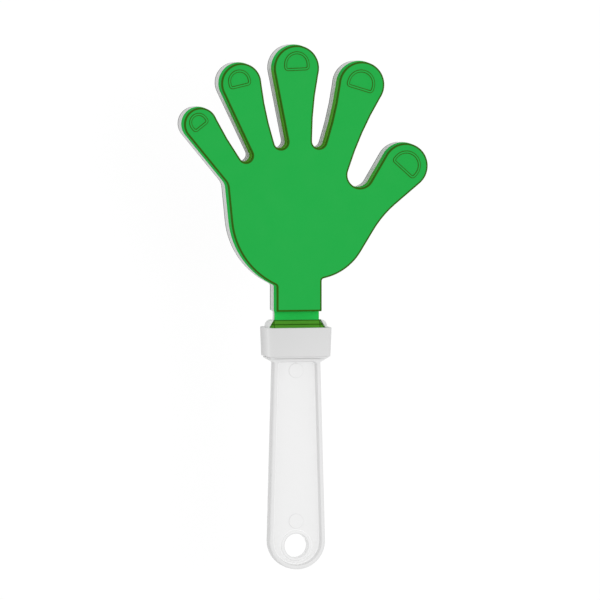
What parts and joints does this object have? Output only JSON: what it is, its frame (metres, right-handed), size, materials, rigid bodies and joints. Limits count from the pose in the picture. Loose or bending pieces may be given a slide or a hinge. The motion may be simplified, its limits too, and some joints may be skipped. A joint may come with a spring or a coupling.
{
  "type": "hand clapper",
  "caption": "Party noise maker: hollow plastic hands on living hinges that clap against a hand moulded on a flat grip, locked by a collar.",
  "frame": {"origin": "centre of the hang hole, half way through the grip", "axes": "+Z along the hang hole, out of the front hand; +Y from the butt to the fingertips; +X to the thumb"},
  "size_m": [0.133, 0.2802, 0.0214],
  "materials": {
    "handle_white": "satin moulded polypropylene, natural white",
    "collar_white": "satin moulded polypropylene, white",
    "hand_green": "satin moulded polypropylene, bright green",
    "hand_white": "satin moulded polypropylene, white"
  },
  "bodies": {
    "handle": {"handle_middle_hand": "handle_white", "collar": "collar_white", "front_root": "hand_green", "rear_root": "hand_white", "front_hinge_web": "hand_green", "rear_hinge_web": "hand_white"},
    "front_hand": {"front_hand": "hand_green"},
    "rear_hand": {"rear_hand": "hand_white"}
  },
  "joints": [
    {"name": "front_swing", "type": "hinge", "parent": "handle", "child": "front_hand", "pos_m": [0, 0.12305, 0.0022], "axis": [1, 0, 0], "range_deg": [0, 60], "stiffness_Nm_per_rad": 0.3, "deforming": ["front_hinge_web"]},
    {"name": "rear_swing", "type": "hinge", "parent": "handle", "child": "rear_hand", "pos_m": [0, 0.12305, -0.0022], "axis": [-1, 0, 0], "range_deg": [0, 60], "stiffness_Nm_per_rad": 0.3, "deforming": ["rear_hinge_web"]}
  ]
}
